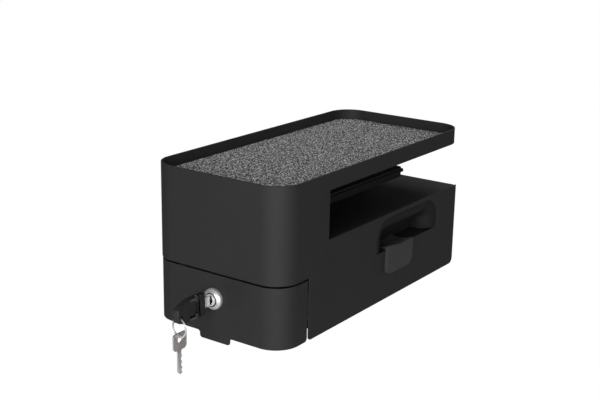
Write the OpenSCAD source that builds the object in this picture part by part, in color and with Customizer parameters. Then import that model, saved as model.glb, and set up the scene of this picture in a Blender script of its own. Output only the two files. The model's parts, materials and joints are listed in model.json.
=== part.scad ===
// Locker that clamps on the edge of a desk: a tray on top, a box in front of the edge,
// and a lockable drawer below the desk.
// The origin lies on the desk's top front edge, half-way along the locker's width.
// X runs along the desk edge, Y from the edge over the desk, Z up. All sizes are millimetres.

/* [Body] */
// Width over the side walls
body_w = 170; // [165:1:200]
// Radius of the upright corners
corner_r = 28; // [22:1:32]
// Thickness of the body's steel sheet
sheet_t = 1.5; // [1.2:0.1:1.8]
// Depth of the box in front of the desk edge
front_d = 81; // [78:1:100]
// Length of the tray behind the desk edge
tray_l = 279; // [270:1:320]
// How far the lower box ends in front of the tray's back
box_setback = 10; // [4:1:14]
// Height of the rim above the desk
rim_h = 18.5; // [15:0.5:26]
// Gap between the rim's lower edge and the desk
rim_lift = 0.5; // [0.3:0.1:1]
// Height of the slot that takes the desk
throat_h = 51.5; // [50:0.5:54]
// Height of the closed space between that slot and the drawer
nook_h = 30; // [29:0.5:36]
// Radius of the rounded lower corners of the side walls
wall_corner_r = 7; // [3:0.5:12]
// Small radius at the foot of the seam
seam_corner_r = 4; // [2:0.5:6]

/* [Tray] */
// Height of the rubber pads that rest on the desk
pad_h = 2; // [1.5:0.25:3]
// Width of each rest pad along Y
pad_w = 15; // [10:1:20]
// Thickness of the felt mat
mat_t = 3.5; // [2:0.5:5]
// Gap round the mat
mat_gap = 0.4; // [0.3:0.1:1]

/* [Desk and clamp] */
// Thickness of the desk that the clamp holds at rest
desk_t = 25; // [22:1:28]
// Lift of the clamp above its rest height, for a thinner desk
clamp_up = 10; // [4:1:11]
// Fall of the clamp below its rest height, for a thicker desk
clamp_down = 15; // [8:1:16]
// Width of the clamp plate
clamp_w = 90; // [70:1:100]
// Length of the clamp plate
clamp_l = 180; // [160:1:200]
// Distance between the two clamp screws
screw_span = 130; // [110:1:140]
// Diameter of the clamp screws
screw_d = 8; // [7:0.5:9]
// Diameter of the screws' knobs
knob_d = 34; // [28:1:38]
// Height of the knobs
knob_h = 12; // [10:0.5:13]

/* [Drawer] */
// Height of the drawer's front
front_h = 65; // [62:0.5:80]
// Width of the seam round the drawer's front
seam_gap = 2; // [1.5:0.1:2.5]
// How far the drawer's front reaches back at the sides
front_wrap = 46; // [42:1:50]
// How far the drawer's front stands back from the body's face
front_inset = 0.5; // [0.2:0.1:0.8]
// Width of the pull tab
tab_w = 39; // [32:1:50]
// Height of the pull tab
tab_h = 7.5; // [6:0.5:9]
// Height of the base panel above the body's lower edge
base_lift = 12.5; // [11:0.5:13]
// Thickness of the drawer's steel sheet
drawer_t = 1.2; // [1:0.1:1.4]
// Gap between the drawer's floor and the base panel
floor_gap = 2.8; // [2:0.1:3.2]
// Gap between the drawer's top edge and the catch above it
drawer_clear = 3; // [2:0.5:5]
// Thickness of the drawer's lining
liner_t = 2; // [1:0.5:3]
// Width of one drawer slide
slide_w = 12.7; // [12.5:0.1:13.5]
// Height of one drawer slide
slide_h = 27; // [26:0.5:28]
// Length of the drawer slides
slide_l = 292; // [280:1:294]
// Thickness of the slides' steel
slide_t = 1.2; // [1:0.1:1.3]
// Running gap between the slides' profiles
slide_gap = 0.4; // [0.3:0.05:0.5]

/* [Lock] */
// Depth of the lock's axis below the seam above the drawer
lock_fall = 27.5; // [26:0.5:29]
// Diameter of the lock's collar
collar_d = 22.5; // [21:0.5:25]
// How far the collar stands out
collar_h = 6.6; // [5:0.2:8]
// Diameter of the lock's barrel
barrel_d = 19; // [18:0.5:20]
// Length of the barrel behind the drawer's front
barrel_l = 18; // [17:0.5:19]
// Diameter of the turning plug
plug_d = 12.5; // [12:0.5:14]
// Reach of the locking cam from the axis
cam_l = 22; // [19:0.5:22]
// Width of the cam
cam_w = 13; // [12:0.5:14]
// Thickness of the cam
cam_t = 2; // [1.5:0.25:2.5]

/* [Key] */
// Height of the key's blade
blade_h = 9.5; // [7.5:0.25:10]
// Thickness of the key's blade
blade_t = 2.2; // [1.8:0.1:2.4]
// Length of the blade inside the lock
blade_l = 21; // [18:0.5:22]
// Length of bare metal between the lock and the grip
neck_l = 11; // [9:0.5:13]
// Height of the grip at its hinge
grip_h = 24; // [20:0.5:26]
// Length of the folding grip from its hinge pin
grip_l = 30; // [28:0.5:34]
// Thickness of the grip
grip_t = 7; // [6:0.5:8]
// Diameter of the hinge pin
pin_d = 2.5; // [2:0.1:3]
// Outer diameter of the key ring
ring_d = 21; // [20:0.5:26]
// Diameter of the ring's wire
wire_d = 1.6; // [1.4:0.1:2]
// Length of the spare key below its hole
spare_l = 37; // [32:0.5:42]
// Width of the spare key's bow
bow_w = 19; // [17:0.5:22]

/* [Side recess and hook] */
// Where the side recess starts behind the desk edge
recess_y = 92; // [80:1:100]
// Length of the side recess
recess_l = 130; // [120:1:150]
// Height of the recess's lower edge above the drawer slides
recess_rise = 9; // [7:0.5:11]
// Radius of the recess's rolled rim
recess_r = 18; // [14:0.5:19]
// Depth of the recess into the body
recess_d = 24; // [22:0.5:28]
// Length of the hook plate
hook_l = 54; // [48:1:64]
// Height of the hook plate below the recess's lower edge
hook_h = 27; // [22:0.5:30]
// Thickness of the hook plate
hook_t = 4; // [3:0.25:5]

/* [Hidden] */
$fn = 64;

// Overrun of every cut, and the gap of parts that are pushed or welded together
over = 1;
weld_gap = 0.1;
run_gap = 0.3;

// Main planes
half_w = body_w / 2;
seam_drop = throat_h + sheet_t + nook_h;
body_drop = seam_drop + seam_gap + front_h;
in_w = half_w - sheet_t;
front_y = -front_d;
box_back = tray_l - box_setback;
seam_y = front_y + front_wrap;
floor_z = pad_h;
pad_shares = [0.1, 0.5, 0.9];
mat_z = floor_z + sheet_t;
base_z = -body_drop + base_lift;
base_top = base_z + sheet_t;

// Throat: bumper against the desk edge, panel behind it
bumper_t = 2;
bumper_w_share = 0.7;
bumper_h_share = 0.75;
throat_y = -bumper_t;
roof_z = -throat_h;
roof_low = roof_z - sheet_t;
bend_r = 2 * sheet_t;
roof_lip = 2;
base_flange = 6;
rear_flange = 13;

// Back panel and its screws
back_y = box_back - sheet_t;
back_gap = 3 * weld_gap;
screw_x_share = 0.75;
screw_x = screw_x_share * half_w;
m4_d = 4;
m4_head_d = 7.5;
m4_head_h = 2.2;
m4_socket_d = 2.9;
m4_len = 8;

// Front shelf and catch
shelf_z = -seam_drop;
catch_w = 40;
catch_l = 20;
catch_h = 11.5;
catch_r = 2.5;
catch_gap = 2;

// Drawer places
drawer_half = in_w - slide_w - weld_gap;
drawer_z = base_top + floor_gap;
front_face = front_y + front_inset;
front_in = front_face + sheet_t;
front_top = -seam_drop - seam_gap;
front_end = seam_y - seam_gap;
lock_room = 15;
box_front = front_in + barrel_l + lock_room;
stop_l = 7.7;
stop_d = 12;
stop_nose_d = 9;
stop_nose_l = 1;
box_rear = back_y - stop_l - run_gap;
drawer_top = shelf_z - catch_h - drawer_clear;
hem_h = 3.5;
tab_r = 3;
tongue_x = 39;
tongue_w = 22;
tongue_h = 20;
tongue_rivet_shares = [0.33, 0.8];

// Slides
slide_lift = 7;
slide_z = base_top + slide_lift + slide_h / 2;
mid_h = slide_h - 2 * slide_t - 2 * slide_gap;
in_h = mid_h - 2 * slide_t - 2 * slide_gap;
web_step = slide_t + slide_gap;
slide_y = seam_y + seam_gap;
slide_reach = 9.5;
rivet_d = 3.2;
rivet_head_d = 6;
rivet_head_h = 1.1;
rivet_shares = [0.12, 0.5, 0.88];

// Lock places
lock_z = -seam_drop - lock_fall;
barrel_end = front_in + barrel_l;
collar_y = front_face - collar_h;
plug_gap = 0.05;
nut_w = 24;
nut_t = 3;
tang_w = 7;
cam_y = barrel_end + weld_gap;
cam_screw_d = 4;
cam_screw_head_d = 8;
cam_screw_head_h = 2.6;
cross_l = 5;
cross_w = 1;
cam_r = 3;
key_gap = 0.15;
plug_lip = 0.4;
tip_y = collar_y - plug_lip + blade_l;
// Profile of the collar, as shares of its radius and of its height: foot, ring and domed front
collar_shares = [[0.85, 0], [0.85, 0.18], [0.96, 0.22], [1, 0.3], [1, 0.54], [0.98, 0.64], [0.92, 0.84],
    [0.88, 0.95], [0.84, 1]];
// Groove in the collar's face round the plug
moat_w = 0.6;
moat_d = 1.4;

// Key places
grip_start = collar_y - neck_l;
fork_l = 11;
hinge_y = grip_start - fork_l;
knuckle_d = 7;
fork_r = 2;
knuckle_share = 0.5;
shoulder_l = 8;
shoulder_h = 10.4;
tang_share = 0.5;
blade_tip = 2;
blade_rib = 0.8;
// Open wards of the keyway beside the blade, as shares of its thickness and height
ward_shares = [[0, 0.5], [1, 0.5], [1, 0.28], [1.5, 0.1], [1.5, -0.12], [1, -0.3], [1, -0.5], [0, -0.5]];
// Cuts of a key, as shares of its blade's length and height
bit_shares = [[0, 0.1], [0.12, 0.32], [0.22, 0.12], [0.36, 0.36], [0.5, 0.16], [0.64, 0.4],
    [0.78, 0.14], [0.9, 0.3], [1, 0.3]];
grip_end = hinge_y - grip_l;
grip_flat_share = 0.33;
grip_fall = 5.8;
grip_rise = 2.9;
grip_corner_r = 3.2;
grip_edge = 1.5;
hole_back = 5.5;
hole_drop = 4.3;
hole_d = 5;
ring_y = grip_end + hole_back;
ring_z = lock_z - hole_drop;
ring_r = (ring_d - wire_d) / 2;
ring_turn = -9;
ring_sag = ring_r - sqrt(ring_r * ring_r - grip_t * grip_t / 4);
ring_slack = (hole_d - wire_d) / 2 - run_gap;
ring_side = sin(ring_turn) * grip_t / 2;
ring_top = ring_z - sqrt(ring_slack * ring_slack - ring_side * ring_side) + ring_sag;
spare_t = 1.6;
spare_hole_d = 7;
spare_z = ring_top - 2 * ring_r - (spare_hole_d - wire_d) / 2 + run_gap;
bow_rim = 3.5;
spare_top = spare_z + spare_hole_d / 2 + bow_rim;
spare_blade_w = 7;
spare_tip = 3;
spare_neck = 2;
bow_h = 18;
bow_r = 3;
bow_notch = 4;

// Clamp places
pad_t = 2.5;
plate_t = 2.5;
plate_lip = 5;
plate_r = 6;
lip_back = 10;
pad_inset = 2;
head_room = 1;
groove_w = 1.5;
groove_shares = [for (i = [-3:3]) i / 9];
clamp_top = -desk_t;
plate_z = clamp_top - pad_t;
plate_low = plate_z - plate_t;
clamp_y = 125;
screw_places = [clamp_y - screw_span / 2, clamp_y + screw_span / 2];
screw_step = 1;
core_d = screw_d - screw_step;
neck_d = screw_d - 2 * screw_step;
head_d = screw_d + 2 * screw_step;
head_t = 1.2;
bush_d = 14;
bush_rim = 2;
bush_rim_t = 3;
bush_low = roof_low - bush_rim_t;
knob_room = 0.5;
knob_top = bush_low - clamp_up - knob_room;
knob_floor = 2;
lobe_d = 10;
lobe_reach = 3;
lobes = 6;
thread_gap = 0.05;

// Recess places
recess_z = base_top + slide_lift + slide_h + recess_rise;
roof_room = 3;
recess_top = roof_low - roof_room;
recess_corner = 5;
hook_lead = 17;
hook_y = recess_y + hook_lead;
hook_lip = 3;
hook_nose = 6.5;
hook_nose_share = 0.45;
hook_r = 6;
hook_rear_r = 11;
saddle_t = 2.5;
saddle_in = 5;
saddle_r = 24;
saddle_dip = 1.25;

// Flat rounded rectangle from one corner to the other, true arcs at the corners
module round_rect(x0, y0, x1, y1, r) {
    translate([x0 + r, y0]) square([x1 - x0 - 2 * r, y1 - y0]);
    translate([x0, y0 + r]) square([x1 - x0, y1 - y0 - 2 * r]);
    for (x = [x0 + r, x1 - r], y = [y0 + r, y1 - r]) translate([x, y]) circle(r);
}

// What a rounded corner takes off a square one that points to -x and -y
module corner_cut(r) {
    difference() {
        translate([-over, -over]) square(r + over);
        translate([r, r]) circle(r);
    }
}

// Plan of the body, drawn in by a given amount
module plan(inset) {
    round_rect(-half_w + inset, front_y + inset, half_w - inset, tray_l - inset, corner_r - inset);
}

// Ring of sheet along the plan, between two heights
module plan_wall(inset, z0, z1) {
    translate([0, 0, z0]) linear_extrude(z1 - z0) difference() {
        plan(inset);
        plan(inset + sheet_t);
    }
}

// A flat outline drawn in Y and Z, made into a plate between two X places
module side_plate(x0, x1) {
    translate([x0, 0, 0]) rotate([90, 0, 90]) linear_extrude(x1 - x0) children();
}

// A flat outline drawn in X and Z, made into a plate between two Y places
module front_plate(y0, y1) {
    translate([0, y1, 0]) rotate([90, 0, 0]) linear_extrude(y1 - y0) children();
}

// A box from its lowest to its highest corner
module block(a, b) {
    translate(a) cube(b - a);
}

// A round bar along Y
module bar_y(d, y0, y1) {
    translate([0, y0, 0]) rotate([-90, 0, 0]) cylinder(d = d, h = y1 - y0);
}

// Outline of one side wall below the throat
module side_outline() {
    difference() {
        union() {
            translate([front_y + corner_r, shelf_z])
                square([box_back - front_y - corner_r, roof_z - shelf_z]);
            translate([seam_y, -body_drop]) square([box_back - seam_y, body_drop + roof_z]);
        }
        translate([seam_y, -body_drop]) corner_cut(seam_corner_r);
        translate([box_back, -body_drop]) mirror([1, 0]) corner_cut(wall_corner_r);
    }
}

// Opening of the side recess where the wall's sheet starts to roll in
module recess_outline(grow) {
    r = recess_corner + recess_r + grow;
    y0 = recess_y - grow;
    y1 = recess_y + recess_l + grow;
    top = recess_top + grow;
    translate([y0, recess_z]) square([y1 - y0, top - r - recess_z]);
    translate([y0 + r, recess_z]) square([y1 - y0 - 2 * r, top - recess_z]);
    intersection() {
        for (y = [y0 + r, y1 - r]) translate([y, top - r]) circle(r);
        translate([y0 - over, recess_z]) square([y1 - y0 + 2 * over, top - recess_z + over]);
    }
}

module body_shell() color("#2b2b2c") {
    difference() {
        plan_wall(0, shelf_z, rim_h);
        block([-body_w, throat_y, shelf_z - over], [body_w, tray_l + over, rim_lift]);
    }
    for (side = [0, 1]) mirror([side, 0, 0]) difference() {
        side_plate(in_w, half_w) side_outline();
        if (side == 0) side_plate(in_w - over, half_w + over) recess_outline(0);
    }
}

module tray_floor() color("#2b2b2c")
    translate([0, 0, floor_z]) linear_extrude(sheet_t) plan(sheet_t + weld_gap);

module tray_mat() color("#6f7072")
    translate([0, 0, mat_z]) linear_extrude(mat_t) plan(sheet_t + mat_gap);

module desk_pads() color("#18181a") {
    w = in_w - corner_r / 2;
    for (share = pad_shares) translate([0, share * tray_l, 0]) linear_extrude(pad_h)
        round_rect(-w, -pad_w / 2, w, pad_w / 2, pad_w / 4);
}

module throat_panel() color("#2b2b2c") {
    w = in_w - weld_gap;
    y0 = throat_y - sheet_t;
    y1 = back_y - sheet_t - back_gap;
    difference() {
        union() {
            // upright behind the desk edge, bend, and roof over the drawer
            block([-w, y0, roof_low + bend_r], [w, throat_y, floor_z]);
            block([-w, y0 + bend_r, roof_low], [w, y1, roof_z]);
            intersection() {
                block([-w, y0, roof_low], [w, y0 + bend_r, roof_low + bend_r]);
                translate([-w, y0 + bend_r, roof_low + bend_r]) rotate([0, 90, 0]) difference() {
                    cylinder(r = bend_r, h = 2 * w);
                    translate([0, 0, -over]) cylinder(r = bend_r - sheet_t, h = 2 * w + 2 * over);
                }
            }
            // flange down at the back, which takes the upper screws of the back panel
            block([-w, y1 - sheet_t, roof_low - rear_flange], [w, y1, roof_low]);
            // flanges down along the side walls
            for (s = [-1, 1]) translate([s * (w - sheet_t / 2), 0, 0])
                block([-sheet_t / 2, y0 + 2 * bend_r, roof_low - roof_lip],
                    [sheet_t / 2, y1 - sheet_t, roof_low]);
        }
        for (y = screw_places) translate([0, y, roof_low - over])
            cylinder(d = bush_d, h = sheet_t + 2 * over);
        for (s = [-1, 1]) translate([s * screw_x, 0, roof_low - rear_flange / 2])
            bar_y(m4_d, y1 - sheet_t - over, y1 + over);
    }
}

module edge_bumper() color("#18181a") {
    w = bumper_w_share * in_w;
    h = bumper_h_share * throat_h;
    z = -throat_h / 2;
    front_plate(throat_y, 0) round_rect(-w, z - h / 2, w, z + h / 2, bumper_t);
}

module front_shelf() color("#2b2b2c") {
    y1 = throat_y - sheet_t - weld_gap;
    intersection() {
        translate([0, 0, shelf_z]) linear_extrude(-shelf_z) plan(sheet_t + weld_gap);
        union() {
            block([-half_w, front_y, shelf_z], [half_w, y1, shelf_z + sheet_t]);
            block([-half_w, y1 - sheet_t, shelf_z], [half_w, y1, roof_low - weld_gap]);
        }
    }
}

module lock_catch() color("#4a4a4c") {
    lip_y = cam_y - catch_gap - sheet_t;
    w = catch_w / 2;
    block([-w, lip_y, shelf_z - sheet_t], [w, lip_y + catch_l, shelf_z]);
    front_plate(lip_y, lip_y + sheet_t) difference() {
        round_rect(-w, shelf_z - catch_h, w, shelf_z, catch_r);
        translate([-w - over, shelf_z - sheet_t]) square([2 * w + 2 * over, 2 * sheet_t]);
    }
}

module back_panel() color("#2b2b2c") difference() {
    union() {
        front_plate(back_y - sheet_t, back_y) round_rect(-in_w + weld_gap, base_z,
            in_w - weld_gap, roof_z, sheet_t);
        // stiffening flanges along the side walls
        for (s = [-1, 1]) translate([s * (in_w - weld_gap - sheet_t / 2), 0, 0])
            block([-sheet_t / 2, back_y - rear_flange, slide_z + slide_h],
                [sheet_t / 2, back_y - sheet_t, roof_low - rear_flange - over]);
    }
    for (s = [-1, 1], z = back_screw_z()) translate([s * screw_x, 0, z])
        bar_y(m4_d, back_y - sheet_t - over, back_y + over);
}

// Heights of the upper and lower screws of the back panel
function back_screw_z() = [roof_low - rear_flange / 2, base_top + rear_flange / 2];

module back_screws() color("#1c1c1e") {
    for (s = [-1, 1], z = back_screw_z()) translate([s * screw_x, 0, z]) difference() {
        union() {
            bar_y(m4_d, back_y + m4_head_h / 2 - m4_len, back_y + m4_head_h / 2);
            // low round head
            intersection() {
                bar_y(m4_head_d, back_y, back_y + m4_head_h);
                translate([0, back_y + m4_head_h - m4_head_d, 0]) sphere(r = m4_head_d);
            }
        }
        translate([0, back_y + m4_head_h / 2, 0]) rotate([-90, 0, 0])
            cylinder(d = m4_socket_d, h = m4_head_h, $fn = 6);
    }
}

module base_panel() color("#2b2b2c") {
    w = in_w - weld_gap;
    y0 = seam_y + seam_gap / 2;
    y1 = back_y - sheet_t - back_gap;
    difference() {
        union() {
            block([-w, y0, base_z], [w, y1, base_top]);
            block([-w, y1 - sheet_t, base_top], [w, y1, base_top + rear_flange]);
            for (s = [-1, 1]) translate([s * (w - sheet_t / 2), 0, 0])
                block([-sheet_t / 2, y0, base_top], [sheet_t / 2, y1 - sheet_t, base_top + base_flange]);
        }
        for (s = [-1, 1]) translate([s * screw_x, 0, base_top + rear_flange / 2])
            bar_y(m4_d, y1 - sheet_t - over, y1 + over);
    }
}

// Section of the recess's rim: a quarter roll, then a straight leg to the recess's back
module rim_section() {
    difference() {
        translate([0, recess_r]) circle(recess_r);
        translate([0, recess_r]) circle(recess_r - sheet_t);
        translate([-2 * recess_r, -over]) square([2 * recess_r, 2 * recess_r + 2 * over]);
        translate([-over, recess_r]) square([2 * recess_r, 2 * recess_r]);
    }
    translate([recess_r - sheet_t, recess_r]) square([sheet_t, recess_d - recess_r]);
}

module hook_recess() color("#2b2b2c") {
    r = recess_corner + recess_r;
    y0 = recess_y;
    y1 = recess_y + recess_l;
    straight = recess_top - r - recess_z;
    // upright parts of the rim at both ends
    for (end = [0, 1]) translate([half_w, end == 0 ? y0 : y1, recess_z])
        mirror([0, end, 0]) rotate([0, 0, 90]) linear_extrude(straight) rim_section();
    // corners
    for (end = [0, 1]) translate([half_w, end == 0 ? y0 + r : y1 - r, recess_top - r])
        mirror([0, end, 0]) rotate([0, -90, 0]) rotate([0, 0, -90]) rotate_extrude(angle = 90)
            translate([r, 0]) mirror([1, 0]) rim_section();
    // top of the rim
    translate([half_w, y0 + r, recess_top]) rotate([-90, 90, 0]) linear_extrude(y1 - y0 - 2 * r)
        rim_section();
    // back and floor of the recess
    side_plate(half_w - recess_d, half_w - recess_d + sheet_t) recess_outline(-recess_r);
    block([half_w - recess_d, y0 + recess_r - sheet_t, recess_z - sheet_t],
        [in_w - weld_gap, y1 - recess_r + sheet_t, recess_z]);
}

module side_hook() color("#262628") {
    face = half_w + weld_gap;
    top = recess_z + saddle_t;
    difference() {
        union() {
            // plate outside the wall, round lower corners, raised at its front end
            side_plate(face, face + hook_t) difference() {
                translate([hook_y, recess_z]) polygon([[0, -hook_h], [0, hook_nose],
                    [hook_nose_share * hook_l, hook_lip], [hook_l, hook_lip], [hook_l, -hook_h]]);
                translate([hook_y, recess_z - hook_h]) corner_cut(hook_r);
                translate([hook_y + hook_l, recess_z - hook_h]) mirror([1, 0]) corner_cut(hook_rear_r);
            }
            // saddle over the edge of the wall
            block([half_w - recess_d + sheet_t + run_gap, hook_y + saddle_in, recess_z + weld_gap],
                [face + hook_t / 2, hook_y + hook_l - saddle_in, top]);
        }
        // hollow that keeps a strap in the middle of the saddle
        translate([half_w - recess_d / 2, hook_y - over, top + saddle_r - saddle_dip])
            rotate([-90, 0, 0]) cylinder(r = saddle_r, h = hook_l + 2 * over);
    }
}

module screw_bushes() color("#8d8f92") for (y = screw_places) translate([0, y, 0]) difference() {
    union() {
        translate([0, 0, bush_low]) cylinder(d = bush_d - 2 * weld_gap, h = roof_z - bush_low);
        translate([0, 0, bush_low]) cylinder(d = bush_d + 2 * bush_rim, h = roof_low - bush_low);
    }
    translate([0, 0, bush_low - over])
        cylinder(d = screw_d + 2 * thread_gap, h = roof_z - bush_low + 2 * over);
}

module drawer_bumpers() color("#18181a") for (s = [-1, 1])
    translate([s * drawer_half / 2, 0, slide_z]) {
        bar_y(stop_d, box_rear + run_gap + stop_nose_l, back_y - sheet_t);
        bar_y(stop_nose_d, box_rear + run_gap, box_rear + run_gap + stop_nose_l);
    }

// Slide member: a channel with rounded bends that opens to -x, from its web at web_x
// to the ends of its flanges at end_x
module channel(web_x, end_x, height) {
    front_plate(slide_y, slide_y + slide_l) difference() {
        union() {
            translate([end_x, -height / 2]) square([web_x - end_x - slide_t, height]);
            round_rect(web_x - 3 * slide_t, -height / 2, web_x, height / 2, slide_t);
        }
        translate([end_x - over, -height / 2 + slide_t])
            square([web_x - end_x - slide_t + over, height - 2 * slide_t]);
    }
}

// The three members of the right-hand slide, each nested in the one before
module slide_outer_at() translate([in_w - weld_gap, 0, slide_z])
    channel(0, -slide_reach, slide_h);

module slide_middle_at() translate([in_w - weld_gap, 0, slide_z])
    channel(-web_step, -slide_w + web_step + slide_gap, mid_h);

module slide_inner_at() difference() {
    translate([drawer_half, 0, slide_z]) mirror([1, 0, 0])
        channel(0, -slide_w + 2 * web_step + slide_gap, in_h);
    rivet_holes();
}

// Where the rivets pass through the drawer's side and the slide on it
module rivet_holes() for (share = rivet_shares)
    translate([drawer_half - 2 * drawer_t, slide_y + share * slide_l, slide_z])
        rotate([0, 90, 0]) cylinder(d = rivet_d, h = 2 * drawer_t + slide_t + over);

module slide_outer_right() color("#9a9c9f") slide_outer_at();
module slide_outer_left() color("#9a9c9f") mirror([1, 0, 0]) slide_outer_at();
module slide_middle_right() color("#a5a7aa") slide_middle_at();
module slide_middle_left() color("#a5a7aa") mirror([1, 0, 0]) slide_middle_at();
module slide_inner_right() color("#9a9c9f") slide_inner_at();
module slide_inner_left() color("#9a9c9f") mirror([1, 0, 0]) slide_inner_at();

module slide_rivets() color("#8d8f92")
    for (m = [0, 1], share = rivet_shares) mirror([m, 0, 0])
        translate([drawer_half, slide_y + share * slide_l, slide_z]) rotate([0, 90, 0]) {
            translate([0, 0, -drawer_t - weld_gap - rivet_head_h])
                cylinder(d = rivet_head_d, h = rivet_head_h);
            translate([0, 0, -drawer_t - over / 2]) cylinder(d = rivet_d, h = drawer_t + slide_t + over / 2);
            translate([0, 0, slide_t]) cylinder(d1 = rivet_head_d, d2 = rivet_d, h = rivet_head_h / 2);
        }

module drawer_front() color("#303031") difference() {
    union() {
        intersection() {
            plan_wall(front_inset, -body_drop, front_top);
            side_plate(-half_w, half_w) difference() {
                translate([front_y, -body_drop]) square([front_end - front_y, body_drop + front_top]);
                translate([front_end, -body_drop]) mirror([1, 0]) corner_cut(seam_corner_r);
            }
        }
        // pull tab under the middle of the front
        front_plate(front_face, front_in) difference() {
            union() {
                round_rect(-tab_w / 2, -body_drop - tab_h, tab_w / 2, -body_drop + 2 * tab_r, tab_r);
                translate([-tab_w / 2 - tab_r, -body_drop - tab_r])
                    square([tab_w + 2 * tab_r, 2 * tab_r]);
            }
            for (s = [-1, 1]) translate([s * (tab_w / 2 + tab_r), -body_drop - tab_r]) circle(tab_r);
        }
    }
    translate([0, 0, lock_z]) bar_y(barrel_d + 2 * weld_gap, front_y - over, front_in + over);
    for (s = [-1, 1], z = front_rivet_z()) translate([s * tongue_x, 0, z])
        bar_y(rivet_d, front_in - sheet_t / 2, front_in + over);
}

// Heights of the rivets that hold the drawer's front
function front_rivet_z() = [for (share = tongue_rivet_shares) drawer_z + share * tongue_h];

module drawer_box() color("#3a3a3c") {
    w = drawer_half - weld_gap;
    difference() {
        union() {
            // floor, with its two tongues forward to the drawer's front
            block([-w, box_front, drawer_z], [w, box_rear, drawer_z + drawer_t]);
            for (s = [-1, 1]) translate([s * tongue_x, 0, 0]) {
                block([-tongue_w / 2, front_in + weld_gap, drawer_z],
                    [tongue_w / 2, box_front + over, drawer_z + drawer_t]);
                block([-tongue_w / 2, front_in + weld_gap, drawer_z],
                    [tongue_w / 2, front_in + weld_gap + drawer_t, drawer_z + tongue_h]);
            }
            // front and back walls
            for (y = [box_front, box_rear - drawer_t])
                block([-w, y, drawer_z], [w, y + drawer_t, drawer_top]);
            // sides with a folded top edge
            for (s = [-1, 1]) {
                translate([s * (w - drawer_t / 2), 0, 0])
                    block([-drawer_t / 2, box_front, drawer_z], [drawer_t / 2, box_rear, drawer_top]);
                translate([s * (w - drawer_t * 3 / 2), 0, 0])
                    block([-drawer_t / 2, box_front, drawer_top - hem_h],
                        [drawer_t / 2, box_rear, drawer_top]);
            }
        }
        for (m = [0, 1]) mirror([m, 0, 0]) rivet_holes();
        for (s = [-1, 1], z = front_rivet_z()) translate([s * tongue_x, 0, z])
            bar_y(rivet_d, front_in, front_in + drawer_t + over);
    }
}

module drawer_liner() color("#5c5d5f") {
    w = drawer_half - 3 * drawer_t;
    translate([0, 0, drawer_z + drawer_t]) linear_extrude(liner_t)
        round_rect(-w, box_front + 2 * drawer_t, w, box_rear - 2 * drawer_t, hem_h);
}

module front_rivets() color("#8d8f92") for (s = [-1, 1], z = front_rivet_z())
    translate([s * tongue_x, 0, z]) {
        bar_y(rivet_d, front_in - sheet_t / 2, front_in + weld_gap + drawer_t);
        bar_y(rivet_head_d, front_in + weld_gap + drawer_t, front_in + weld_gap + drawer_t + rivet_head_h);
    }

module lock_housing() color("#d8d9da") translate([0, 0, lock_z]) difference() {
    union() {
        // barrel through the drawer's front
        bar_y(barrel_d, front_face - weld_gap, barrel_end);
        // stepped collar in front of it
        rotate([90, 0, 0]) rotate_extrude() translate([0, -front_face])
            polygon(concat([[0, collar_h], [0, 0]],
                [for (s = collar_shares) [s[0] * collar_d / 2, s[1] * collar_h]]));
    }
    bar_y(plug_d + 2 * plug_gap, collar_y - over, barrel_end + over);
    bar_y(plug_d + 2 * moat_w, collar_y - over, collar_y + moat_d);
}

module lock_nut() color("#b4b6b8") translate([0, front_in, lock_z]) rotate([-90, 0, 0]) difference() {
    cylinder(d = nut_w / cos(30), h = nut_t, $fn = 6);
    translate([0, 0, -over]) cylinder(d = barrel_d + 2 * plug_gap, h = nut_t + 2 * over);
}

// Section of the blade in X and Z, with the rib along one side, grown by a gap for the keyway
module blade_section(gap) {
    square([blade_t + 2 * gap, blade_h + 2 * gap], center = true);
    translate([-blade_t / 2 - blade_rib, -blade_rib - gap]) square([blade_t, 2 * blade_rib + 2 * gap]);
}

module lock_plug() color("#c9cacb") translate([0, 0, lock_z]) difference() {
    union() {
        bar_y(plug_d, collar_y - plug_lip, barrel_end);
        front_plate(barrel_end, barrel_end + cam_t + weld_gap)
            translate([-tang_w / 2, -tang_w / 2]) square(tang_w);
    }
    front_plate(collar_y - over, tip_y + plug_lip) {
        blade_section(key_gap);
        polygon([for (w = ward_shares) [w[0] * blade_t, w[1] * blade_h]]);
    }
    bar_y(cam_screw_d, barrel_end - cam_screw_d, barrel_end + cam_t + over);
}

module lock_cam() color("#8d8f92") front_plate(cam_y, cam_y + cam_t) translate([0, lock_z])
    difference() {
        union() {
            circle(d = cam_w);
            translate([-cam_l + cam_r, -cam_w / 2]) square([cam_l - cam_r, cam_w]);
            round_rect(-cam_l, -cam_w / 2, -cam_l + 3 * cam_r, cam_w / 2, cam_r);
        }
        translate([-tang_w / 2 - plug_gap, -tang_w / 2 - plug_gap]) square(tang_w + 2 * plug_gap);
    }

module cam_screw() color("#8d8f92") translate([0, 0, lock_z]) difference() {
    union() {
        bar_y(cam_screw_d - 2 * plug_gap, barrel_end - cam_screw_d + weld_gap, cam_y + cam_t + weld_gap);
        bar_y(cam_screw_head_d, cam_y + cam_t + weld_gap, cam_y + cam_t + cam_screw_head_h);
    }
    front_plate(cam_y + cam_t + cam_screw_head_h / 2, cam_y + cam_t + 2 * cam_screw_head_h) {
        square([cross_l, cross_w], center = true);
        square([cross_w, cross_l], center = true);
    }
}

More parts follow.
